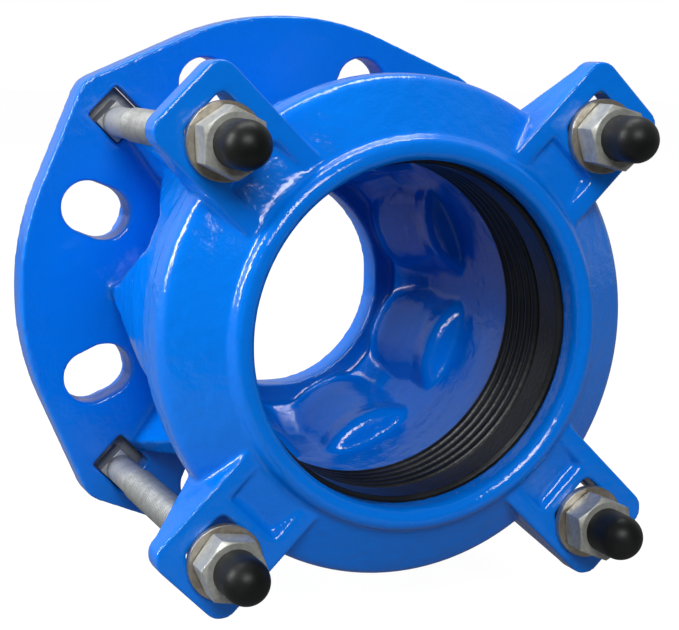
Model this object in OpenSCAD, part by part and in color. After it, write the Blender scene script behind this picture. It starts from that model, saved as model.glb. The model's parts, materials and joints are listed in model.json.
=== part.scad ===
// Wide-range flange adaptor for 80 mm pipework: a flanged cast body with a flared
// socket, a clamping end ring, a wedge gasket and four tie bolts with nuts,
// washers and thread-protector caps. All sizes in mm.
// The pipe axis lies along Y and the socket opens toward -Y. The sealing face of
// the flange is at y = 0 with its normal along +Y, and Z is up.

/* [Flange] */
// Radius of the round part of the flange
flange_r = 100; // [92:0.5:110]
// Thickness of the flange plate without its raised face
flange_t = 14; // [11:0.5:20]
// Radius of the raised sealing face
raised_face_r = 66; // [50:0.5:70]
// Height of the raised sealing face
raised_face_h = 3; // [2:0.5:5]
// Radius of the waterway through the flange
waterway_r = 40; // [32:0.5:42]
// Distance from each tie bolt hole to the tip of its ear
ear_edge = 16.5; // [14:0.5:22]
// Rounding radius of each ear tip in plan
ear_round_r = 10; // [8:0.5:16]

/* [Flange slots] */
// Width of each slot
slot_w = 19; // [15:0.5:23]
// Overall length of each slot along the radius
slot_len = 25.5; // [21:0.5:30]
// Distance from the axis to the middle of each slot
slot_mid_r = 78; // [75:0.5:81]

/* [Bell] */
// Distance from the sealing face to the front face of the bell rim
bell_len = 109; // [100:1:125]
// Wall of the rim collar round the mouth of the gasket seat
collar_wall = 10; // [7:0.2:12]
// Length of the rim collar
collar_len = 11; // [8:0.5:16]
// Rounding radius of the collar edges
collar_edge_r = 2; // [1:0.25:3]
// Height of the rim collar over the bell behind it
collar_h = 7; // [4:0.5:9]
// Outer radius of the bell ridges where they meet the flange
ridge_foot_r = 67; // [64:0.5:70]
// Length of the ridges from the flange face
ridge_len = 47; // [40:1:60]
// Radius of the smooth socket inside the bell
socket_r = 60; // [57:0.5:62]
// Mouth radius of the conical gasket seat
seat_mouth_r = 69; // [65:0.5:72]
// Length of the conical gasket seat
seat_len = 17; // [12:0.5:24]
// Depth of the waterway lip behind the front of the flange plate
lip_step = 5; // [2:0.5:8]
// Radius where the flared inside of the bell starts at the lip
flare_foot_r = 47; // [44:0.5:50]
// Radius of the flare where its slope changes
flare_mid_r = 56; // [52:0.5:56.5]
// Distance from the lip to the change of slope
flare_mid_len = 16; // [10:0.5:22]
// Distance from the lip to the start of the smooth socket
flare_len = 44; // [30:1:60]

/* [Bolt-head pockets] */
// Radius of each pocket at the flange face
pocket_foot_r = 29; // [26:0.1:29.2]
// Radius of each pocket at its waist
pocket_waist_r = 23.5; // [21:0.5:25]
// Distance from the flange face to the pocket waist
pocket_waist_len = 19; // [12:1:25]
// Radius of each pocket at its end wall
pocket_top_r = 8.5; // [6.5:0.5:10]
// Distance from the flange face to the end wall of each pocket
pocket_len = 52; // [48:1:62]
// Wall between a pocket and the bump it makes inside the bell
pocket_wall = 5; // [4:0.5:7]
// Distance from the flange face to the waist of each inside bump
bump_waist_len = 22; // [14:1:26]
// Distance from the flange face to the end of each inside bump
bump_len = 34; // [32:1:40]
// Rounding radius at the end of each inside bump
bump_round_r = 5; // [2:0.5:6]

/* [Ear-ribs] */
// Width of each ear rib where it joins the bell
rib_root_w = 14; // [10:0.5:18]
// Width of each ear rib at its outer end
rib_tip_w = 6; // [4:0.5:9]
// Depth that each ear rib runs into the bell
rib_root_depth = 8; // [6:0.5:10]
// Gap between an ear rib and the square hole in front of it
rib_hole_gap = 1; // [0.5:0.25:3]
// Height of each ear rib at its outer end
rib_tip_h = 2; // [1:0.5:6]
// Length of each ear rib along the bell
rib_len = 43; // [30:1:46]
// Depth that the end of each ear rib sinks into the bell
rib_sink = 1; // [0.5:0.25:3]

/* [Tie-bolts] */
// Distance from the side of the end ring to the middle of each bolt hole
bolt_gap = 9.3; // [8.8:0.1:13]
// Outside diameter of the bolt thread
thread_d = 12; // [10:0.5:14]
// Diameter of the reduced plain shank
shank_d = 10.8; // [9:0.1:13.5]
// Length of thread that stands out of the nut, under the cap
bolt_end_len = 11; // [8:0.5:20]
// Length under the head before the thread starts
plain_len = 33; // [20:1:60]
// Width of the square neck
neck_w = 11; // [10.8:0.1:12]
// Gap on each side between the neck and its square hole
neck_gap = 2; // [0.5:0.1:2.2]
// Gap left where the loose bolts hang against the lower sides of their square holes
neck_rest_gap = 0.1; // [0.05:0.05:0.4]
// Width of the square head
head_w = 19; // [17:0.5:22]
// Thickness of the head
head_t = 5.5; // [4:0.5:7]
// Gap round the head in its pocket in the back of the flange
head_gap = 2.3; // [2.1:0.1:3]
// Depth that the head lies below the back of the flange plate
head_depth = 0.5; // [0.2:0.1:1]
// Corner radius of the square holes in the flange
square_corner_r = 0.5; // [0.25:0.25:2]
// Chamfer at the end of the thread
bolt_tip_chamfer = 1.2; // [0.5:0.1:2]

/* [End-ring] */
// Gap between the bell rim and the back of the end ring
ring_gap = 3; // [2:0.5:8]
// Wall of the end ring round the mouth of its gasket chamber
ring_wall = 12.7; // [10:0.1:16]
// Length of the round side of the end ring
ring_side = 9.2; // [6:0.2:12]
// Rounding radius of the outer front edge
ring_edge_r = 6; // [3:0.5:8]
// Chamfer at the outer back edge
ring_chamfer = 1; // [0.5:0.25:2]
// Slope of the conical front face
ring_slope = 33; // [24:1:36]
// Bore radius of the end ring
ring_bore_r = 55; // [52:0.5:56.5]
// Rounding radius of the raised nose round the bore
nose_r = 3.75; // [3:0.25:5]
// Height of the straight side of the nose over the groove round it
nose_rise = 0.6; // [0.25:0.05:2]
// Length of the gasket chamber inside the end ring
chamber_len = 18.5; // [15:0.5:21]
// Radius of the gasket chamber at its front end
chamber_front_r = 60; // [58.5:0.5:61.5]
// Step from the mouth of the gasket seat in to the mouth of the gasket chamber
mouth_step = 0.5; // [0:0.1:1.5]

/* [Lugs] */
// Distance from the middle of each bolt hole to the outer edge of its lug
lug_edge = 17.1; // [14:0.1:22]
// Width of each lug
lug_w = 33; // [30:0.5:36]
// Thickness of each lug plate
lug_t = 10; // [8:0.5:13]
// Depth of the lug faces below the groove round the nose
lug_drop = 1.2; // [0.2:0.1:3]
// Rounding radius of the lug corners
lug_corner_r = 6; // [3:0.5:9]
// Width of the square bolt hole in each lug
lug_hole_w = 18; // [16.5:0.5:19]
// Corner radius of the square bolt hole
lug_hole_corner_r = 2.5; // [1:0.5:4]
// Width of the two ribs of each lug at their feet
lug_rib_w = 8; // [6:0.5:9]
// Distance from the middle of each bolt hole to the recess between the ribs
recess_gap = 15; // [13:0.5:18]
// Depth of the recess at its outer end
recess_depth = 3; // [1.5:0.25:5]
// Rise of the recess floor toward the nose
recess_rise = 4; // [2:0.25:6]
// Lean of the walls of the recess
recess_lean = 2; // [0.5:0.25:3]
// Reach of the side gussets under each lug past the middle of its bolt hole
gusset_reach = 10.5; // [2:0.5:14]
// Distance from the gasket chamber to the root of each gusset
gusset_wall = 3; // [2:0.5:5]

/* [Gasket] */
// Inner radius of the gasket at its sealing ribs
gasket_bore_r = 53.5; // [50:0.5:54.5]
// Number of sealing ribs
rib_count = 5; // [3:1:7]
// Radius of each rounded sealing rib
rib_r = 1.7; // [1:0.1:2]
// Distance between sealing ribs
rib_pitch = 4.6; // [3.6:0.1:5]
// Length of the smooth band at the front of the gasket
band_len = 12; // [6:0.5:14]
// Length the gasket reaches back into the bell past the seat mouth
gasket_back_len = 16; // [10:0.5:18]
// Gap between the gasket and its seats
gasket_gap = 0.3; // [0.2:0.05:0.6]

/* [Nuts-and-washers] */
// Outer diameter of each washer
washer_d = 24; // [22:0.5:30]
// Thickness of each washer
washer_t = 2.5; // [2:0.1:4]
// Gap between a washer and its bolt
washer_gap = 0.5; // [0.3:0.1:1]
// Width of each nut across its flats
nut_af = 19; // [17:0.5:22]
// Height of each nut
nut_h = 10; // [8:0.5:12]
// Diameter of the flat round face of each nut
nut_face_d = 18.4; // [16:0.1:18.8]
// Running gap between a nut and its bolt
nut_gap = 0.05; // [0.02:0.01:0.1]
// Slope of the chamfer on the nut corners
nut_chamfer = 30; // [20:1:40]

/* [Caps] */
// Outer diameter of each thread-protector cap
cap_d = 14.7; // [14.4:0.1:18]
// Running gap between a cap and its bolt
cap_gap = 0.05; // [0.02:0.01:0.1]
// Thickness of the domed end beyond the bolt tip
cap_end_t = 5; // [2:0.5:7]

/* [Hidden] */
$fn = 96;

// Extra length so that cutting shapes pass right through
over = 1;
// Tie bolts stand at odd multiples of this angle
bolt_first_angle = 45;
bolt_step_angle = 90;
slot_count = 8;
slot_step_angle = 360 / slot_count;
slot_first_angle = slot_step_angle / 2;
// How far each nut is turned on its bolt
nut_turns = [0, 18, 8, 21];

// Heights along the pipe axis, measured from the sealing face
plate_front = raised_face_h + flange_t;
head_seat = raised_face_h + head_t + head_depth;
ridge_top = plate_front + ridge_len;
seat_foot = bell_len - seat_len;
collar_back = bell_len - collar_len;
ring_back = bell_len + ring_gap;
bead_mid = ring_back + ring_side;
chamber_front = ring_back + chamber_len;
thread_start = head_seat + plain_len;

// The castings are built outward from the mouth of the gasket seat
collar_r = seat_mouth_r + collar_wall;
bell_r = collar_r - collar_h;
chamber_mouth_r = seat_mouth_r - mouth_step;
ring_r = chamber_mouth_r + ring_wall;
bolt_circle_r = ring_r + bolt_gap;
lug_tip_r = bolt_circle_r + lug_edge;
recess_end_r = bolt_circle_r - recess_gap;
gusset_tip_r = bolt_circle_r + gusset_reach;

// Conical front face of the end ring, tangent to its rounded outer edge
bead_r = ring_r - ring_edge_r;
nose_mid_r = ring_bore_r + nose_r;
nose_out_r = ring_bore_r + 2 * nose_r;
function face_height(r) = bead_mid + (ring_edge_r - (r - bead_r) * sin(ring_slope)) / cos(ring_slope);
groove_height = face_height(nose_out_r);
nose_mid = groove_height + nose_rise;
lug_front = groove_height - lug_drop;
lug_back = lug_front - lug_t;

washer_front = lug_front + washer_t;
nut_front = washer_front + nut_h;
bolt_tip = nut_front + bolt_end_len;
thread_len = bolt_tip - thread_start;
cap_front = bolt_tip + cap_end_t;
cap_r = cap_d / 2;
washer_bore_r = thread_d / 2 + washer_gap;

// An ear that stands out of the round flange is joined to it by straight common tangents
ear_mid_r = bolt_circle_r + ear_edge - ear_round_r;
ear_stands_out = ear_mid_r > flange_r - ear_round_r;
ear_tangent_angle = ear_stands_out ? acos((flange_r - ear_round_r) / ear_mid_r) : 0;

// The square holes stand on a rounded corner, so a loose bolt drops along their diagonal
bolt_drop = (neck_gap - neck_rest_gap) * sqrt(2) - square_corner_r * (sqrt(2) - 1);

// Turns a shape built upward along the pipe axis into the frame of the part
module in_frame() {
    rotate([90, 0, 0])
        children();
}

// Centre of a bolt hole in the flange
module at_hole(index) {
    rotate([0, 0, bolt_first_angle + bolt_step_angle * (index - 1)])
        translate([bolt_circle_r, 0, 0])
            children();
}

// Axis of a tie bolt, which hangs low in its hole
module at_bolt(index) {
    translate([0, -bolt_drop, 0])
        at_hole(index)
            children();
}

module at_every_ear() {
    for (index = [0 : 3])
        rotate([0, 0, bolt_first_angle + bolt_step_angle * index])
            children();
}

module at_every_slot() {
    for (index = [0 : slot_count - 1])
        rotate([0, 0, slot_first_angle + slot_step_angle * index])
            children();
}

module rounded_square(width, corner) {
    inner = width - 2 * corner;
    square([width, inner], center = true);
    square([inner, width], center = true);
    for (side_x = [-1, 1], side_y = [-1, 1])
        translate([side_x * inner / 2, side_y * inner / 2])
            circle(corner);
}

// Outline of the flange: a round plate with four ears on straight tangents
module flange_outline() {
    t = ear_tangent_angle;
    circle(flange_r);
    at_every_ear() {
        translate([ear_mid_r, 0])
            circle(ear_round_r);
        if (ear_stands_out)
            polygon([
                [0, 0],
                [flange_r * cos(t), flange_r * sin(t)],
                [ear_mid_r + ear_round_r * cos(t), ear_round_r * sin(t)],
                [ear_mid_r + ear_round_r * cos(t), -ear_round_r * sin(t)],
                [flange_r * cos(t), -flange_r * sin(t)]
            ]);
    }
}

module flange_plate() {
    translate([0, 0, raised_face_h])
        linear_extrude(flange_t)
            flange_outline();
    cylinder(r = raised_face_r, h = raised_face_h + over);
}

// Outside of the bell as a half section
module bell_section() {
    polygon([
        [0, plate_front - over],
        [ridge_foot_r, plate_front - over],
        [bell_r, ridge_top],
        [bell_r, collar_back - (collar_r - bell_r) / 2],
        [collar_r - collar_edge_r, collar_back],
        [collar_r - collar_edge_r, bell_len],
        [0, bell_len]
    ]);
    translate([0, collar_back + collar_edge_r])
        square([collar_r, collar_len - 2 * collar_edge_r]);
    for (height = [collar_back + collar_edge_r, bell_len - collar_edge_r])
        translate([collar_r - collar_edge_r, height])
            circle(collar_edge_r);
}

// One pocket that clears the head of a flange bolt
module pocket() {
    slope = (pocket_foot_r - pocket_waist_r) / pocket_waist_len;
    start = plate_front - 2 * over;
    top = plate_front + pocket_len;
    translate([slot_mid_r, 0, 0])
        rotate_extrude()
            polygon([
                [0, start],
                [pocket_foot_r + slope * 2 * over, start],
                [pocket_waist_r, plate_front + pocket_waist_len],
                [pocket_top_r, top],
                [0, top]
            ]);
}

// Bump that a pocket makes on the inside of the bell, one wall outside the pocket
module bump() {
    foot_r = pocket_foot_r + pocket_wall;
    waist_r = pocket_waist_r + pocket_wall;
    round_mid_r = waist_r - bump_round_r;
    top = plate_front + bump_len;
    translate([slot_mid_r, 0, 0])
        rotate_extrude() {
            polygon([
                [0, 0],
                [foot_r, 0],
                [foot_r, plate_front],
                [waist_r, plate_front + bump_waist_len],
                [waist_r, top - bump_round_r],
                [round_mid_r, top],
                [0, top]
            ]);
            translate([round_mid_r, top - bump_round_r])
                circle(bump_round_r);
        }
}

// Rib that carries a bolt ear against the bell, tapering toward the bolt hole
module ear_rib() {
    foot_r = bolt_circle_r - neck_w / 2 - neck_gap - rib_hole_gap;
    root_r = ridge_foot_r - rib_root_depth;
    rib_top = plate_front + rib_len;
    intersection() {
        translate([0, 0, plate_front - over])
            linear_extrude(rib_len + 2 * over)
                polygon([
                    [root_r, -rib_root_w / 2],
                    [foot_r, -rib_tip_w / 2],
                    [foot_r, rib_tip_w / 2],
                    [root_r, rib_root_w / 2]
                ]);
        rotate([90, 0, 0])
            translate([0, 0, -rib_root_w])
                linear_extrude(2 * rib_root_w)
                    polygon([
                        [root_r, plate_front - over],
                        [foot_r, plate_front - over],
                        [foot_r, plate_front + rib_tip_h],
                        [bell_r - rib_sink, rib_top],
                        [root_r, rib_top]
                    ]);
    }
}

module slot_hole() {
    run = slot_len - slot_w;
    for (end = [-1, 1])
        translate([slot_mid_r + end * run / 2, 0, -over])
            cylinder(d = slot_w, h = plate_front + 2 * over);
    translate([slot_mid_r - run / 2, -slot_w / 2, -over])
        cube([run, slot_w, plate_front + 2 * over]);
}

// Square neck hole with the head pocket behind it
module neck_hole() {
    translate([0, 0, head_seat - over])
        linear_extrude(plate_front - head_seat + 2 * over)
            rounded_square(neck_w + 2 * neck_gap, square_corner_r);
    translate([0, 0, -over])
        linear_extrude(head_seat + over)
            rounded_square(head_w + 2 * head_gap, square_corner_r);
}

// Space inside the bell: flared part with its bumps, socket and gasket seat
module bell_space() {
    lip_height = plate_front - lip_step;
    difference() {
        rotate_extrude()
            polygon([
                [0, lip_height],
                [flare_foot_r, lip_height],
                [flare_mid_r, lip_height + flare_mid_len],
                [socket_r, lip_height + flare_len],
                [socket_r, seat_foot],
                [seat_mouth_r, bell_len],
                [seat_mouth_r, bell_len + over],
                [0, bell_len + over]
            ]);
        at_every_slot()
            bump();
    }
    translate([0, 0, -over])
        cylinder(r = waterway_r, h = plate_front + 2 * over);
}

module flange_body() {
    color("royalblue")
        in_frame()
            difference() {
                union() {
                    flange_plate();
                    difference() {
                        rotate_extrude()
                            bell_section();
                        at_every_slot()
                            pocket();
                    }
                    at_every_ear()
                        ear_rib();
                }
                bell_space();
                at_every_slot()
                    slot_hole();
                for (index = [1 : 4])
                    at_hole(index)
                        neck_hole();
            }
}

// Half section of the end ring before its gasket chamber is taken out
module ring_section() {
    polygon([
        [ring_bore_r, ring_back],
        [ring_r - ring_chamfer, ring_back],
        [ring_r, ring_back + ring_chamfer],
        [ring_r, bead_mid],
        [bead_r + ring_edge_r * sin(ring_slope), bead_mid + ring_edge_r * cos(ring_slope)],
        [nose_out_r, groove_height],
        [nose_out_r, nose_mid],
        [ring_bore_r, nose_mid]
    ]);
    translate([bead_r, bead_mid])
        circle(ring_edge_r);
    translate([nose_mid_r, nose_mid])
        circle(nose_r);
}

module chamber_section() {
    polygon([
        [0, ring_back - over],
        [chamber_mouth_r, ring_back - over],
        [chamber_mouth_r, ring_back],
        [chamber_front_r, chamber_front],
        [ring_bore_r, chamber_front],
        [ring_bore_r, nose_mid],
        [0, nose_mid]
    ]);
}

// Plan of a lug plate with its bolt hole
module lug_plan() {
    root = nose_mid_r;
    corner_x = lug_tip_r - lug_corner_r;
    corner_y = lug_w / 2 - lug_corner_r;
    difference() {
        union() {
            translate([root, -lug_w / 2])
                square([corner_x - root, lug_w]);
            translate([root, -corner_y])
                square([lug_tip_r - root, 2 * corner_y]);
            for (side = [-1, 1])
                translate([corner_x, side * corner_y])
                    circle(lug_corner_r);
        }
        translate([bolt_circle_r, 0])
            rounded_square(lug_hole_w, lug_hole_corner_r);
    }
}

// Recess between the two ribs of a lug, with a sloped floor and leaning walls
module recess() {
    floor_w = lug_w - 2 * lug_rib_w;
    low = lug_front - recess_depth;
    top = lug_front + over;
    lean = recess_lean * (1 + over / recess_depth);
    intersection() {
        rotate([90, 0, 0])
            translate([0, 0, -lug_w / 2])
                linear_extrude(lug_w)
                    polygon([
                        [nose_mid_r, low + recess_rise],
                        [recess_end_r, low],
                        [recess_end_r + lean, top],
                        [nose_mid_r, top + recess_rise]
                    ]);
        translate([nose_mid_r - over, 0, 0])
            rotate([90, 0, 90])
                linear_extrude(recess_end_r - nose_mid_r + lean + 2 * over)
                    polygon([
                        [-floor_w / 2, low],
                        [floor_w / 2, low],
                        [floor_w / 2 + lean, top],
                        [-floor_w / 2 - lean, top]
                    ]);
    }
}

// Gusset along one side of a lug, from the back of the ring to the plate
module lug_gusset(side) {
    root_r = chamber_mouth_r + gusset_wall;
    foot = ring_back + ring_chamfer;
    top = lug_back + over / 2;
    translate([0, side * (lug_w - lug_rib_w) / 2, 0])
        rotate([90, 0, 0])
            translate([0, 0, -lug_rib_w / 2])
                linear_extrude(lug_rib_w)
                    polygon([
                        [root_r, foot],
                        [ring_r - ring_chamfer, foot],
                        [gusset_tip_r, top],
                        [root_r, top]
                    ]);
}

module end_ring() {
    color("dodgerblue")
        in_frame()
            difference() {
                union() {
                    rotate_extrude()
                        ring_section();
                    at_every_ear() {
                        difference() {
                            translate([0, 0, lug_back])
                                linear_extrude(lug_t)
                                    lug_plan();
                            recess();
                        }
                        lug_gusset(1);
                        lug_gusset(-1);
                    }
                }
                rotate_extrude()
                    chamber_section();
            }
}

// Wedge-shaped gasket between the seat in the bell and the chamber in the ring
module gasket() {
    front = chamber_front - gasket_gap;
    band_back = front - band_len;
    back = bell_len - gasket_back_len;
    seat_slope = (seat_mouth_r - socket_r) / seat_len;
    chamber_slope = (chamber_mouth_r - chamber_front_r) / chamber_len;
    back_outer_r = seat_mouth_r - seat_slope * gasket_back_len - gasket_gap;
    front_outer_r = chamber_front_r + chamber_slope * gasket_gap - gasket_gap;
    rib_foot_r = gasket_bore_r + rib_r;
    color("black")
        in_frame()
            rotate_extrude() {
                polygon([
                    [rib_foot_r, back],
                    [back_outer_r, back],
                    [seat_mouth_r - gasket_gap, bell_len],
                    [chamber_mouth_r - gasket_gap, ring_back],
                    [front_outer_r, front],
                    [gasket_bore_r, front],
                    [gasket_bore_r, band_back],
                    [rib_foot_r, band_back - rib_r]
                ]);
                for (index = [0 : rib_count - 1])
                    translate([rib_foot_r, back + rib_r + rib_pitch * index])
                        circle(rib_r);
            }
}

module tie_bolt(index) {
    color("silver")
        in_frame()
            at_bolt(index) {
                translate([-head_w / 2, -head_w / 2, head_seat - head_t])
                    cube([head_w, head_w, head_t]);
                translate([-neck_w / 2, -neck_w / 2, head_seat])
                    cube([neck_w, neck_w, plate_front - head_seat]);
                translate([0, 0, head_seat])
                    cylinder(d = shank_d, h = plain_len);
                translate([0, 0, thread_start])
                    cylinder(d = thread_d, h = thread_len - bolt_tip_chamfer);
                translate([0, 0, bolt_tip - bolt_tip_chamfer])
                    cylinder(d1 = thread_d, d2 = thread_d - 2 * bolt_tip_chamfer, h = bolt_tip_chamfer);
            }
}

module washer(index) {
    color("gainsboro")
        in_frame()
            at_bolt(index)
                translate([0, 0, lug_front])
                    difference() {
                        cylinder(d = washer_d, h = washer_t);
                        translate([0, 0, -over])
                            cylinder(r = washer_bore_r, h = washer_t + 2 * over);
                    }
}

// Hexagon nut with chamfered corners on both faces
module nut(index) {
    corner_r = nut_af / 2 / cos(30);
    face_r = nut_face_d / 2;
    drop = (corner_r - face_r) * tan(nut_chamfer);
    color("lightgray")
        in_frame()
            at_bolt(index)
                translate([0, 0, washer_front])
                    rotate([0, 0, nut_turns[index - 1]])
                        difference() {
                            intersection() {
                                linear_extrude(nut_h)
                                    circle(corner_r, $fn = 6);
                                rotate_extrude()
                                    polygon([
                                        [0, 0],
                                        [face_r, 0],
                                        [corner_r, drop],
                                        [corner_r, nut_h - drop],
                                        [face_r, nut_h],
                                        [0, nut_h]
                                    ]);
                            }
                            translate([0, 0, -over])
                                cylinder(r = thread_d / 2 + nut_gap, h = nut_h + 2 * over);
                        }
}

module cap(index) {
    dome_mid = cap_front - cap_r;
    color("dimgray")
        in_frame()
            at_bolt(index)
                difference() {
                    union() {
                        translate([0, 0, nut_front])
                            cylinder(r = cap_r, h = dome_mid - nut_front);
                        translate([0, 0, dome_mid])
                            sphere(cap_r);
                    }
                    translate([0, 0, nut_front - over])
                        cylinder(r = thread_d / 2 + cap_gap, h = bolt_tip + cap_gap - nut_front + over);
                }
}

flange_body();
end_ring();
gasket();
tie_bolt(1);  // tie_bolt_1
tie_bolt(2);  // tie_bolt_2
tie_bolt(3);  // tie_bolt_3
tie_bolt(4);  // tie_bolt_4
washer(1);  // washer_1
washer(2);  // washer_2
washer(3);  // washer_3
washer(4);  // washer_4
nut(1);  // nut_1
nut(2);  // nut_2
nut(3);  // nut_3
nut(4);  // nut_4
cap(1);  // cap_1
cap(2);  // cap_2
cap(3);  // cap_3
cap(4);  // cap_4
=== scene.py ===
"""Dresses a packed flange adaptor: coated castings, plated bolts, rubber gasket and a studio."""
import json
import math

import bpy
from bpy.props import FloatProperty, FloatVectorProperty, IntProperty, PointerProperty
from mathutils import Matrix, Vector


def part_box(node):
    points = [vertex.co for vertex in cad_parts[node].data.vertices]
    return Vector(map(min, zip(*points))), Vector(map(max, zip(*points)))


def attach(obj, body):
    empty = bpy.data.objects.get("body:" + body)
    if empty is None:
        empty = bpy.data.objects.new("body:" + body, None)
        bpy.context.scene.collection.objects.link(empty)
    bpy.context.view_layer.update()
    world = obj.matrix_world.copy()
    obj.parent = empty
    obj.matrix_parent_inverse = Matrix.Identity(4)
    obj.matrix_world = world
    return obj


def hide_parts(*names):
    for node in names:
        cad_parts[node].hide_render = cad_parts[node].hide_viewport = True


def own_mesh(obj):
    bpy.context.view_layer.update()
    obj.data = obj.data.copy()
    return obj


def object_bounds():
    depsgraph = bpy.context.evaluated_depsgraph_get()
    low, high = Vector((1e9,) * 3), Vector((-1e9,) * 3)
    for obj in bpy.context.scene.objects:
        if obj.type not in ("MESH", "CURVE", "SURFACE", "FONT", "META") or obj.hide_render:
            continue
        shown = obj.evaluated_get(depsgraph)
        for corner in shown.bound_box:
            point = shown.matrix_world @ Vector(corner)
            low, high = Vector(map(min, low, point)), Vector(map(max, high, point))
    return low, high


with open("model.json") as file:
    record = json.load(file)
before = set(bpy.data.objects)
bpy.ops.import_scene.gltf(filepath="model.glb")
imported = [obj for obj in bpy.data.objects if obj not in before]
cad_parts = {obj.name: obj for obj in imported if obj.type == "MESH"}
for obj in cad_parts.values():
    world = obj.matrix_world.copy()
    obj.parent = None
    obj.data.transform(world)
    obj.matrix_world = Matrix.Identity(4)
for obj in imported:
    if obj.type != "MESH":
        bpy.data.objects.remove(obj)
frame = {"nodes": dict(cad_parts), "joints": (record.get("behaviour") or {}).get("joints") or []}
CAD_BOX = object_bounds()

bl_info = {
    "name": "Flange adaptor dresser",
    "version": (1, 0, 0),
    "blender": (4, 5, 0),
    "location": "View3D > Sidebar > Adaptor",
    "description": "Builds the threads, gasket, finishes and studio of a flange adaptor",
    "category": "Object",
}

BOLTS = (1, 2, 3, 4)
PICTURE_WIDTH = 679
SENSOR_WIDTH = 36.0
FULL_TURN = 2 * math.pi
# Points closer than this are merged
MERGE_GAP = 1e-6
# Size of the plane that is merged to one point to start a line
SEED_SIZE = 0.001
# Triangles that a thinned casting keeps
MOST_TRIANGLES = 190000
# The parts of one bolt reach this far into each other
JOIN = 0.0005
# The core of a bolt stays this far inside the root of the thread
CORE_GAP = 0.0001
# The plain point of a bolt stands this far outside the root of the thread
POINT_STAND = 0.0002
# The tip of a bolt is bevelled to this far inside the root of the thread
TIP_BEVEL = 0.0006
# Sizes of the marks on the plating, and the depth of its scratches
STAIN_SIZE = 0.007
MOTTLE_SIZE = 0.0018
SCRATCH_SIZE = 0.0012
SCRATCH_DEPTH = 0.00003
# Size of the pale bloom on rubber and plastic, and how much paler it is
BLOOM_SIZE = 0.02
BLOOM_PALENESS = 0.012
FLOOR_SIZE = 6.0
# The floor starts a little in front of the part, so that it doesn't mirror in the front faces
FLOOR_FRONT = -0.3
FLOOR_GREY = (0.35, 0.35, 0.35, 1)
# How much the floor glows where the camera sees it and where it is mirrored, and the glow's share of its look
SEEN_GLOW = 1.29
MIRRORED_GLOW = 0.14
GLOW_SHARE = 0.75
# The surround in mirrors: places on the way from front to back, each with its brightness
MIRROR_FRONT = (0.3, 0.04)
MIRROR_BACK = (0.62, 0.45)
WHITE = (1, 1, 1, 1)
# Point that all lamps face
LAMP_TARGET = (0, -0.07, 0)


def find_joint(name):
    """The frame's own entry for a joint."""
    for joint in frame["joints"]:
        if joint["name"] == name:
            return joint
    raise RuntimeError("the frame has no joint " + name)


def joint_place(name):
    """Where a joint of the frame turns, as (x, z) across the pipe axis."""
    across, _, upward = find_joint(name)["pos_m"]
    return across, upward


def colour(name, description, default):
    return FloatVectorProperty(name=name, description=description, default=default,
                               subtype="COLOR", size=3, min=0, max=1)


def length(name, description, default):
    return FloatProperty(name=name, description=description, default=default, unit="LENGTH",
                         subtype="DISTANCE", min=0, precision=5)


class CoatingSettings(bpy.types.PropertyGroup):
    """Blue coating on the two castings."""
    bright: colour("Coating", "Colour of the coating where it lies thick", (0.0, 0.166, 0.74))
    deep: colour("Deep coating", "Colour of the coating in its darker clouds", (0.0, 0.146, 0.64))
    roughness: FloatProperty(name="Roughness", description="Mean roughness of the coating", default=0.1)
    peel: length("Orange peel", "Size of the ripples that the sprayed coating leaves", 0.005)
    sag: length("Sag", "Size of the slow waves where the coating has run", 0.02)
    cloud: length("Clouds", "Size of the slow changes of the coating's colour", 0.06)
    relief: length("Relief", "Depth of the ripples and waves together", 0.0009)
    body_grain: length("Body grain", "Cell size at which the flange body is rounded", 0.0010)
    ring_grain: length("Ring grain", "Cell size at which the end ring is rounded", 0.0007)
    rounding: IntProperty(name="Rounding", description="Passes that round the cast edges", default=7, min=0)


class BoltSettings(bpy.types.PropertyGroup):
    """Sizes of the tie bolts and colours of the plating."""
    thread: length("Thread", "Outside diameter of the thread", 0.012)
    root: length("Thread root", "Diameter at the root of the thread", 0.0100)
    pitch: length("Pitch", "Distance between two turns of the thread", 0.00175)
    shank: length("Shank", "Diameter of the reduced shank", 0.0108)
    plain: length("Plain length", "Length of the plain shank under the head", 0.033)
    neck: length("Neck", "Width of the square neck", 0.011)
    neck_length: length("Neck length", "Length of the square neck", 0.008)
    head: length("Head", "Width of the square head", 0.019)
    head_height: length("Head height", "Thickness of the square head", 0.0055)
    edge: length("Edge", "Bevel on the edges of the head and neck", 0.0006)
    collar: length("Collar", "Length of the slopes where the thread starts and ends", 0.0012)
    nose: length("Nose", "Length of the plain end past the thread", 0.003)
    steps: IntProperty(name="Steps", description="Steps of one turn of the thread", default=40, min=12)
    plating: colour("Plating", "Colour of the bright plating", (0.40, 0.41, 0.40))
    dull: colour("Dull plating", "Colour of the plating where it has dulled", (0.25, 0.26, 0.26))


class FastenerSettings(bpy.types.PropertyGroup):
    """Colours of the nuts, washers and thread caps."""
    nut: colour("Nut", "Colour of the plating on the nuts", (0.47, 0.48, 0.45))
    nut_dull: colour("Dull nut", "Colour of the nuts where they have dulled", (0.24, 0.245, 0.225))
    washer: colour("Washer", "Colour of the plating on the washers", (0.56, 0.52, 0.45))
    washer_dull: colour("Dull washer", "Colour of the washers where they have dulled", (0.30, 0.25, 0.19))
    cap: colour("Cap", "Colour of the thread caps", (0.006, 0.007, 0.007))


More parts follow.
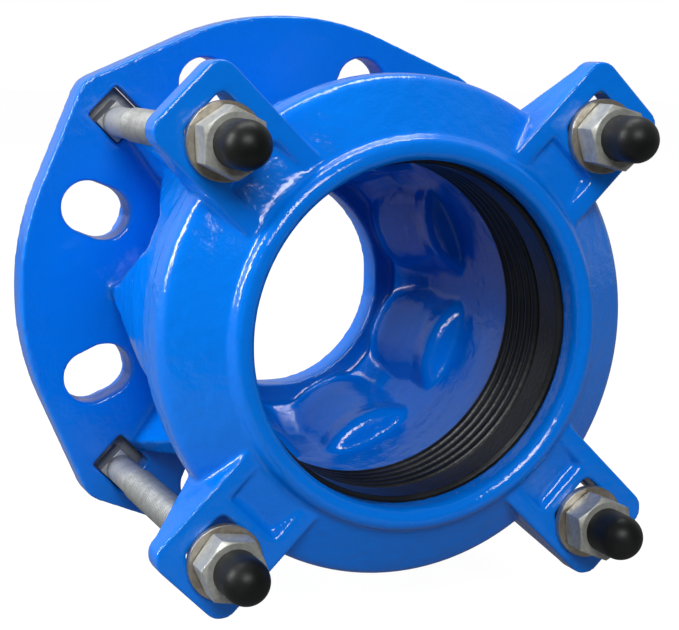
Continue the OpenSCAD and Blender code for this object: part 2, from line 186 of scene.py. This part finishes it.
class GasketSettings(bpy.types.PropertyGroup):
    """Section of the rubber gasket, seen from the pipe axis."""
    bore: length("Bore", "Inner radius at the sealing ribs", 0.0535)
    rib: length("Rib", "Radius of each sealing rib", 0.0017)
    rib_pitch: length("Rib pitch", "Distance between sealing ribs", 0.0046)
    ribs: IntProperty(name="Ribs", description="Number of sealing ribs", default=5, min=1)
    band: length("Band", "Length of the smooth band at the front", 0.012)
    back_draw: length("Back draw", "How far the outside draws in toward the back", 0.0086)
    ring_draw: length("Ring draw", "How far the outside draws in at the back of the end ring", 0.0013)
    front_draw: length("Front draw", "How far the outside draws in toward the front", 0.0088)
    corner: length("Corner", "Width of the bevel at the outer front corner", 0.0013)
    lip: length("Lip", "Depth of the bevels at the front", 0.001)
    steps: IntProperty(name="Steps", description="Steps round the gasket", default=160, min=24)
    rubber: colour("Rubber", "Colour of the rubber", (0.006, 0.0075, 0.009))


class StageSettings(bpy.types.PropertyGroup):
    """Camera and light."""
    place: FloatVectorProperty(name="Camera", description="Place of the camera", subtype="TRANSLATION",
                               unit="LENGTH", size=3, default=(-0.22072, -0.60151, 0.09055), precision=5)
    yaw: FloatProperty(name="Yaw", description="Turn of the view to the right", subtype="ANGLE",
                       default=0.395)
    pitch: FloatProperty(name="Pitch", description="Tilt of the view upward", subtype="ANGLE",
                         default=-0.1624)
    roll: FloatProperty(name="Roll", description="Roll of the camera", subtype="ANGLE", default=0.0113)
    focus: FloatProperty(name="Focal length", description="Focal length in pixels of the picture",
                         default=1666.2)
    key: FloatProperty(name="Key lamp", description="Power of the lamp above the camera",
                       subtype="POWER", default=19.0)
    strip: FloatProperty(name="Strip lamp", description="Power of the tall lamp at the left",
                         subtype="POWER", default=18.0)
    top: FloatProperty(name="Top lamp", description="Power of the long lamp overhead",
                       subtype="POWER", default=11.0)
    world: FloatProperty(name="Surround", description="Strength of the soft light all round", default=0.24)


class AdaptorSettings(bpy.types.PropertyGroup):
    """All settings of the dressed adaptor."""
    coating: PointerProperty(type=CoatingSettings)
    bolt: PointerProperty(type=BoltSettings)
    gasket: PointerProperty(type=GasketSettings)
    fastener: PointerProperty(type=FastenerSettings)
    stage: PointerProperty(type=StageSettings)


class Wire:
    """A shader socket whose arithmetic adds Math nodes."""

    def __init__(self, finish, socket):
        self.finish = finish
        self.socket = socket

    def maths(self, operation, first, second):
        return self.finish.add("ShaderNodeMath", {"operation": operation}, {0: first, 1: second})

    def __add__(self, other):
        return self.maths("ADD", self, other)

    def __radd__(self, other):
        return self.maths("ADD", other, self)

    def __sub__(self, other):
        return self.maths("SUBTRACT", self, other)

    def __rsub__(self, other):
        return self.maths("SUBTRACT", other, self)

    def __mul__(self, other):
        return self.maths("MULTIPLY", self, other)

    def __rmul__(self, other):
        return self.maths("MULTIPLY", other, self)


class Finish:
    """A node tree that is written as expressions."""

    def __init__(self, tree):
        self.tree = tree
        tree.nodes.clear()

    def add(self, kind, settings, sockets, output=0):
        """Adds a node: its settings first, then the values or links of its sockets."""
        node = self.tree.nodes.new(kind)
        for name, value in settings.items():
            if name == "stops":
                self.set_stops(node.color_ramp, value)
            else:
                setattr(node, name, value)
        for name, value in sockets.items():
            if isinstance(value, Wire):
                self.tree.links.new(value.socket, node.inputs[name])
            else:
                node.inputs[name].default_value = value
        return Wire(self, node.outputs[output]) if node.outputs else node

    @staticmethod
    def set_stops(ramp, stops):
        while len(ramp.elements) < len(stops):
            ramp.elements.new(0.5)
        for element, (place, value) in zip(ramp.elements, stops):
            element.position = place
            element.color = (value, value, value, 1)

    def place(self, stretch=(1, 1, 1)):
        """Object coordinates in metres, stretched along the axes."""
        spot = self.add("ShaderNodeTexCoord", {}, {}, "Object")
        return self.add("ShaderNodeMapping", {}, {"Vector": spot, "Scale": stretch})

    def noise(self, size, detail=2.0, stretch=(1, 1, 1)):
        """Noise whose lumps are about the given size in metres."""
        return self.add("ShaderNodeTexNoise", {},
                        {"Vector": self.place(stretch), "Scale": 1 / size, "Detail": detail})

    def ramp(self, value, *stops):
        return self.add("ShaderNodeValToRGB", {"stops": stops}, {"Fac": value})

    def blend(self, factor, first, second):
        """Mixes two colours."""
        return self.add("ShaderNodeMix", {"data_type": "RGBA"},
                        {0: factor, 6: (*first, 1), 7: (*second, 1)}, 2)

    def relief(self, height, depth):
        """A normal that shows a height in metres."""
        return self.add("ShaderNodeBump", {}, {"Height": height, "Distance": depth, "Strength": 1.0})

    def edged_relief(self, height, depth, edge):
        """A normal that shows the height over edges rounded to a radius."""
        rounded = self.add("ShaderNodeBevel", {"samples": 6}, {"Radius": edge})
        return self.add("ShaderNodeBump", {},
                        {"Height": height, "Distance": depth, "Strength": 1.0, "Normal": rounded})

    def surface(self, **sockets):
        """The finished surface; a socket name's spaces are written as underscores."""
        named = {name.replace("_", " "): value for name, value in sockets.items()}
        shader = self.add("ShaderNodeBsdfPrincipled", {}, named)
        self.add("ShaderNodeOutputMaterial", {}, {"Surface": shader})


def new_material(name):
    material = bpy.data.materials.new(name)
    material.use_nodes = True
    return material, Finish(material.node_tree)


def coat_material(settings):
    """Glossy sprayed coating with clouds, orange peel and a little casting grit."""
    material, finish = new_material("blue_coating")
    clouds = finish.noise(settings.cloud)
    peel = finish.noise(settings.peel)
    grit = finish.noise(settings.peel / 6, detail=3.0)
    sag = finish.noise(settings.sag)
    finish.surface(
        Base_Color=finish.blend(clouds, settings.bright, settings.deep),
        Roughness=settings.roughness - 0.03 + 0.06 * clouds,
        Normal=finish.relief(0.5 * sag + 0.4 * peel + 0.1 * grit, settings.relief),
    )
    return material


def plate_material(name, bright, dull, metal, roughness, stretch, edge):
    """Zinc plating with dull patches, fine scratches and rounded edges."""
    material, finish = new_material(name)
    stains = finish.ramp(finish.noise(STAIN_SIZE, detail=4.0), (0.35, 0.0), (0.7, 1.0))
    mottle = finish.ramp(finish.noise(MOTTLE_SIZE, detail=3.0), (0.4, 0.0), (0.68, 1.0))
    patches = 0.6 * stains + 0.4 * mottle
    scratches = finish.noise(SCRATCH_SIZE, detail=3.0, stretch=stretch)
    finish.surface(
        Base_Color=finish.blend(patches, bright, dull),
        Metallic=metal,
        Roughness=roughness + 0.14 * patches + 0.08 * scratches,
        Normal=finish.edged_relief(scratches, SCRATCH_DEPTH, edge),
    )
    return material


def black_material(name, tint, roughness, shine, lump, depth, edge):
    """Black rubber or plastic with a fine moulded texture."""
    material, finish = new_material(name)
    bloom = finish.noise(BLOOM_SIZE, detail=4.0)
    grain = finish.noise(lump, detail=2.0)
    pale = [value + BLOOM_PALENESS for value in tint]
    finish.surface(
        Base_Color=finish.blend(finish.ramp(bloom, (0.45, 0.0), (0.8, 1.0)), tint, pale),
        Roughness=roughness + 0.12 * bloom,
        Specular_IOR_Level=shine,
        Normal=finish.edged_relief(grain, depth, edge),
    )
    return material


def dress(name, material):
    """Gives a CAD node its finish."""
    node = frame["nodes"][name]
    node.data.materials.clear()
    node.data.materials.append(material)


def deselect():
    bpy.ops.object.select_all(action="DESELECT")


def draw_line(name, points):
    """A new object that holds one line of edges through the points, left in edit mode."""
    deselect()
    bpy.ops.mesh.primitive_plane_add(size=SEED_SIZE)
    piece = bpy.context.object
    piece.name = name
    bpy.ops.object.mode_set(mode="EDIT")
    bpy.ops.mesh.select_mode(type="VERT")
    bpy.ops.mesh.select_all(action="SELECT")
    bpy.ops.mesh.merge(type="CENTER")
    bpy.ops.transform.translate(value=points[0])
    for start, end in zip(points, points[1:]):
        bpy.ops.mesh.extrude_region_move(TRANSFORM_OT_translate={"value": Vector(end) - Vector(start)})
    bpy.ops.mesh.select_all(action="SELECT")
    return piece


def close_mesh():
    """Merges what meets, turns all faces outward and leaves edit mode."""
    bpy.ops.mesh.select_all(action="SELECT")
    bpy.ops.mesh.remove_doubles(threshold=MERGE_GAP)
    bpy.ops.mesh.normals_make_consistent(inside=False)
    bpy.ops.object.mode_set(mode="OBJECT")


def revolve(name, section, steps):
    """A closed section of (radius, y) points turned round the pipe axis."""
    points = [(radius, y, 0) for radius, y in section]
    piece = draw_line(name, points + points[:1])
    bpy.ops.mesh.remove_doubles(threshold=MERGE_GAP)
    bpy.ops.mesh.spin(steps=steps, angle=FULL_TURN, center=(0, 0, 0), axis=(0, 1, 0))
    close_mesh()
    bpy.ops.object.mode_set(mode="EDIT")
    bpy.ops.mesh.delete_loose(use_verts=True, use_edges=True, use_faces=False)
    bpy.ops.object.mode_set(mode="OBJECT")
    return piece


def pick(piece):
    """Makes a piece the only selected and the active object."""
    deselect()
    piece.select_set(True)
    bpy.context.view_layer.objects.active = piece


def smooth(piece, angle):
    pick(piece)
    bpy.ops.object.shade_smooth_by_angle(angle=angle)


def arc(middle, radius, start, end, steps):
    """Points on an arc of a section, in (radius, y) pairs."""
    turns = [start + (end - start) * step / steps for step in range(steps + 1)]
    return [(middle[0] + radius * math.cos(turn), middle[1] + radius * math.sin(turn)) for turn in turns]


class ADAPTOR_OT_coat_castings(bpy.types.Operator):
    """Rounds the edges of the flange body and the end ring and coats them"""
    bl_idname = "adaptor.coat_castings"
    bl_label = "Coat castings"

    def soften(self, name, grain, passes):
        """A copy of a casting with the rounded edges and fillets of its sand mould."""
        piece = bpy.data.objects.new("coated_" + name, frame["nodes"][name].data.copy())
        bpy.context.collection.objects.link(piece)
        pick(piece)
        bpy.ops.object.mode_set(mode="EDIT")
        close_mesh()
        remesh = piece.modifiers.new("remesh", "REMESH")
        remesh.mode = "VOXEL"
        remesh.voxel_size = grain
        bpy.ops.object.modifier_apply(modifier=remesh.name)
        rounding = piece.modifiers.new("rounding", "SMOOTH")
        rounding.factor = 0.5
        rounding.iterations = passes
        bpy.ops.object.modifier_apply(modifier=rounding.name)
        thinning = piece.modifiers.new("thinning", "DECIMATE")
        thinning.ratio = min(1, MOST_TRIANGLES / (2 * len(piece.data.polygons)))
        bpy.ops.object.modifier_apply(modifier=thinning.name)
        bpy.ops.object.shade_smooth()
        return piece

    def execute(self, context):
        coating = context.scene.adaptor.coating
        material = coat_material(coating)
        for name, body, grain in (("flange_body", "body", coating.body_grain),
                                  ("end_ring", "end_ring", coating.ring_grain)):
            piece = self.soften(name, grain, coating.rounding)
            piece.data.materials.clear()
            piece.data.materials.append(material)
            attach(piece, body)
            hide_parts(name)
        return {"FINISHED"}


class ADAPTOR_OT_thread_bolts(bpy.types.Operator):
    """Models one tie bolt with a rolled thread and puts a copy at each hole"""
    bl_idname = "adaptor.thread_bolts"
    bl_label = "Thread bolts"

    def block(self, name, width, near, far, edge):
        """A square bar with bevelled edges, standing on a corner, from one height to another."""
        deselect()
        bpy.ops.mesh.primitive_cube_add(size=1)
        bar = bpy.context.object
        bar.name = name
        bar.scale = (width, abs(far - near), width)
        bar.location = (0, (near + far) / 2, 0)
        bpy.ops.object.transform_apply(location=True, rotation=True, scale=True)
        bar.rotation_euler = (0, math.pi / 4, 0)
        bpy.ops.object.transform_apply(location=True, rotation=True, scale=True)
        bpy.ops.object.mode_set(mode="EDIT")
        bpy.ops.mesh.select_all(action="SELECT")
        bpy.ops.mesh.bevel(offset=edge, segments=2, affect="EDGES")
        close_mesh()
        return bar

    def thread(self, bolt, start, turns):
        """A rolled thread made by screwing the outline of one turn along the bolt."""
        major = bolt.thread / 2
        minor = bolt.root / 2
        # Radius of the thread at shares of one pitch
        outline = [(minor, 0.0), (minor, 0.16), (major, 0.46), (major, 0.66), (minor, 0.96), (minor, 1.0)]
        piece = draw_line("thread", [(radius, start + bolt.pitch * share, 0) for radius, share in outline])
        bpy.ops.object.mode_set(mode="OBJECT")
        screw = piece.modifiers.new("screw", "SCREW")
        screw.axis = "Y"
        screw.angle = FULL_TURN
        screw.screw_offset = bolt.pitch
        screw.iterations = turns
        screw.steps = bolt.steps
        screw.render_steps = bolt.steps
        screw.use_merge_vertices = True
        screw.merge_threshold = MERGE_GAP
        bpy.ops.object.modifier_apply(modifier=screw.name)
        bpy.ops.object.mode_set(mode="EDIT")
        bpy.ops.mesh.select_all(action="SELECT")
        bpy.ops.mesh.remove_doubles(threshold=MERGE_GAP)
        bpy.ops.mesh.select_all(action="DESELECT")
        bpy.ops.mesh.select_mode(type="EDGE")
        bpy.ops.mesh.select_non_manifold()
        bpy.ops.mesh.fill()
        close_mesh()
        return piece

    def execute(self, context):
        bolt = context.scene.adaptor.bolt
        low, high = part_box("tie_bolt_1")
        tip = low[1]
        back = high[1]
        seat = back - bolt.head_height
        thread_start = seat - bolt.plain
        turns = math.floor((thread_start - tip - bolt.nose) / bolt.pitch)
        thread_end = thread_start - turns * bolt.pitch
        core = bolt.root / 2 - CORE_GAP
        point_radius = bolt.root / 2 + POINT_STAND
        tip_radius = bolt.root / 2 - TIP_BEVEL
        head = self.block("head", bolt.head, seat, back, bolt.edge)
        neck = self.block("neck", bolt.neck, seat - bolt.neck_length, seat + JOIN, bolt.edge)
        shank = revolve("shank", [
            (0.0, seat + JOIN),
            (bolt.shank / 2, seat + JOIN),
            (bolt.shank / 2, thread_start),
            (core, thread_start - bolt.collar),
            (0.0, thread_start - bolt.collar),
        ], bolt.steps)
        point = revolve("point", [
            (0.0, thread_end + bolt.collar),
            (core, thread_end + bolt.collar),
            (point_radius, thread_end),
            (point_radius, tip + bolt.collar),
            (tip_radius, tip),
            (0.0, tip),
        ], bolt.steps)
        thread = self.thread(bolt, thread_end, turns)
        deselect()
        for part in (head, neck, shank, point, thread):
            part.select_set(True)
        bpy.context.view_layer.objects.active = thread
        bpy.ops.object.join()
        master = bpy.context.object
        smooth(master, math.radians(28))
        master.data.materials.clear()
        master.data.materials.append(
            plate_material("bolt_plating", bolt.plating, bolt.dull, metal=0.6, roughness=0.42,
                           stretch=(1, 0.1, 1), edge=0.0002))
        for index in BOLTS:
            copy = master.copy()
            copy.data = master.data.copy()
            copy.name = f"threaded_bolt_{index}"
            context.collection.objects.link(copy)
            x, z = joint_place(f"nut_{index}_turn")
            copy.data.transform(Matrix.Translation((x, 0, z)))
            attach(copy, "body")
            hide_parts(f"tie_bolt_{index}")
        bpy.data.objects.remove(master)
        return {"FINISHED"}


class ADAPTOR_OT_mould_gasket(bpy.types.Operator):
    """Spins the ribbed section of the gasket round the pipe axis"""
    bl_idname = "adaptor.mould_gasket"
    bl_label = "Mould gasket"

    def execute(self, context):
        gasket = context.scene.adaptor.gasket
        low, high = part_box("gasket")
        front = low[1]
        back = high[1]
        outer = high[0]
        foot = gasket.bore + gasket.rib
        seat_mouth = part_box("flange_body")[0][1]
        ring_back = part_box("end_ring")[1][1]
        band_back = front + gasket.band
        section = [
            (foot, back),
            (outer - gasket.back_draw, back),
            (outer, seat_mouth),
            (outer - gasket.ring_draw, ring_back),
            (outer - gasket.front_draw, front + gasket.lip),
            (outer - gasket.front_draw - gasket.corner, front),
            (gasket.bore + gasket.lip, front),
            (gasket.bore, front + gasket.lip),
            (gasket.bore, band_back),
            (foot, band_back + gasket.rib),
        ]
        for index in reversed(range(gasket.ribs)):
            middle = (foot, back - gasket.rib - gasket.rib_pitch * index)
            section += arc(middle, gasket.rib, math.pi * 1.5, math.pi * 0.5, steps=8)
        piece = revolve("ribbed_gasket", section, gasket.steps)
        smooth(piece, math.radians(40))
        piece.data.materials.clear()
        piece.data.materials.append(
            black_material("gasket_rubber", gasket.rubber, roughness=0.3, shine=0.36,
                           lump=0.0016, depth=0.00012, edge=0.0005))
        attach(piece, "body")
        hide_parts("gasket")
        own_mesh(piece)
        return {"FINISHED"}


class ADAPTOR_OT_finish_fasteners(bpy.types.Operator):
    """Finishes the nuts, washers and thread caps"""
    bl_idname = "adaptor.finish_fasteners"
    bl_label = "Finish fasteners"

    def execute(self, context):
        plain = context.scene.adaptor.fastener
        nut = plate_material("nut_plating", plain.nut, plain.nut_dull, metal=0.55, roughness=0.36,
                             stretch=(1, 1, 1), edge=0.0006)
        washer = plate_material("washer_plating", plain.washer, plain.washer_dull, metal=0.85, roughness=0.26,
                                stretch=(1, 1, 1), edge=0.0006)
        cap = black_material("cap_plastic", plain.cap, roughness=0.36, shine=0.2,
                             lump=0.0008, depth=0.00003, edge=0.0004)
        for index in BOLTS:
            dress(f"nut_{index}", nut)
            dress(f"washer_{index}", washer)
            dress(f"cap_{index}", cap)
        return {"FINISHED"}


class ADAPTOR_OT_set_stage(bpy.types.Operator):
    """Sets the floor, the surround, the lamps and the camera"""
    bl_idname = "adaptor.set_stage"
    bl_label = "Set stage"

    def ray(self, finish, kind):
        return finish.add("ShaderNodeLightPath", {}, {}, kind)

    def mirrored(self, finish):
        """One where a reflection or a clear piece looks at the surface."""
        return self.ray(finish, "Is Glossy Ray") + self.ray(finish, "Is Transmission Ray")

    def floor(self, height):
        deselect()
        bpy.ops.mesh.primitive_plane_add(size=FLOOR_SIZE, location=(0, FLOOR_SIZE / 2 + FLOOR_FRONT, height))
        floor = bpy.context.object
        floor.name = "floor"
        bpy.ops.object.transform_apply(location=True, rotation=True, scale=True)
        material, finish = new_material("pale_floor")
        seen = self.ray(finish, "Is Camera Ray")
        mirrored = self.mirrored(finish)
        paint = finish.add("ShaderNodeBsdfDiffuse", {}, {"Color": FLOOR_GREY})
        glow = finish.add("ShaderNodeEmission", {},
                          {"Color": WHITE, "Strength": SEEN_GLOW * seen + MIRRORED_GLOW * mirrored})
        mixed = finish.add("ShaderNodeMixShader", {}, {0: GLOW_SHARE * (seen + mirrored), 1: paint, 2: glow})
        finish.add("ShaderNodeOutputMaterial", {}, {"Surface": mixed})
        floor.data.materials.append(material)

    def surround(self, strength):
        """Soft light all round, which mirrors as pale behind the object and dark in front of it."""
        world = bpy.data.worlds.new("studio")
        bpy.context.scene.world = world
        world.use_nodes = True
        finish = Finish(world.node_tree)
        seen = self.ray(finish, "Is Camera Ray")
        glossy = self.mirrored(finish)
        way = finish.add("ShaderNodeTexCoord", {}, {}, "Generated")
        depth = finish.add("ShaderNodeSeparateXYZ", {}, {"Vector": way}, "Y")
        side = finish.ramp(depth * 0.5 + 0.5, MIRROR_FRONT, MIRROR_BACK)
        level = seen + glossy * side + (1 - seen - glossy) * strength
        shade = finish.add("ShaderNodeBackground", {}, {"Color": WHITE, "Strength": level})
        finish.add("ShaderNodeOutputWorld", {}, {"Surface": shade})

    def lamp(self, name, place, power, width, height):
        light = bpy.data.lights.new(name, "AREA")
        light.energy = power
        light.shape = "RECTANGLE"
        light.size = width
        light.size_y = height
        holder = bpy.data.objects.new(name, light)
        holder.location = place
        holder.rotation_euler = (Vector(LAMP_TARGET) - Vector(place)).to_track_quat("-Z", "Y").to_euler()
        bpy.context.collection.objects.link(holder)

    def camera(self, stage):
        ahead = Vector((math.sin(stage.yaw) * math.cos(stage.pitch),
                        math.cos(stage.yaw) * math.cos(stage.pitch), math.sin(stage.pitch)))
        level = Vector((math.cos(stage.yaw), -math.sin(stage.yaw), 0))
        upright = level.cross(ahead)
        right = level * math.cos(stage.roll) + upright * math.sin(stage.roll)
        up = upright * math.cos(stage.roll) - level * math.sin(stage.roll)
        turn = Matrix((right, up, -ahead)).transposed().to_4x4()
        lens = bpy.data.cameras.new("camera")
        lens.sensor_width = SENSOR_WIDTH
        lens.lens = SENSOR_WIDTH * stage.focus / PICTURE_WIDTH
        lens.clip_start = 0.01
        holder = bpy.data.objects.new("camera", lens)
        holder.matrix_world = Matrix.Translation(stage.place) @ turn
        bpy.context.collection.objects.link(holder)
        bpy.context.scene.camera = holder

    def execute(self, context):
        stage = context.scene.adaptor.stage
        context.scene.view_settings.view_transform = "Standard"
        self.floor(CAD_BOX[0][2])
        self.surround(stage.world)
        self.lamp("key", (-0.40, -1.38, 0.85), stage.key, width=0.8, height=0.45)
        self.lamp("strip", (-1.25, 0.2, 0.6), stage.strip, width=0.25, height=0.75)
        self.lamp("top", (0.0, 0.25, 1.25), stage.top, width=1.2, height=0.22)
        self.camera(stage)
        return {"FINISHED"}


class ADAPTOR_PT_panel(bpy.types.Panel):
    """Lists the steps of the dressing"""
    bl_idname = "ADAPTOR_PT_panel"
    bl_label = "Flange adaptor"
    bl_space_type = "VIEW_3D"
    bl_region_type = "UI"
    bl_category = "Adaptor"

    def draw(self, context):
        for step in STEPS:
            self.layout.operator(step.bl_idname)


STEPS = (
    ADAPTOR_OT_coat_castings,
    ADAPTOR_OT_thread_bolts,
    ADAPTOR_OT_mould_gasket,
    ADAPTOR_OT_finish_fasteners,
    ADAPTOR_OT_set_stage,
)
CLASSES = (CoatingSettings, BoltSettings, FastenerSettings, GasketSettings, StageSettings, AdaptorSettings,
           *STEPS, ADAPTOR_PT_panel)


def register():
    for kind in CLASSES:
        bpy.utils.register_class(kind)
    bpy.types.Scene.adaptor = PointerProperty(type=AdaptorSettings)


def unregister():
    del bpy.types.Scene.adaptor
    for kind in reversed(CLASSES):
        bpy.utils.unregister_class(kind)


def main():
    register()
    bpy.ops.adaptor.coat_castings()
    bpy.ops.adaptor.thread_bolts()
    bpy.ops.adaptor.mould_gasket()
    bpy.ops.adaptor.finish_fasteners()
    bpy.ops.adaptor.set_stage()


if __name__ == "__main__":
    main()
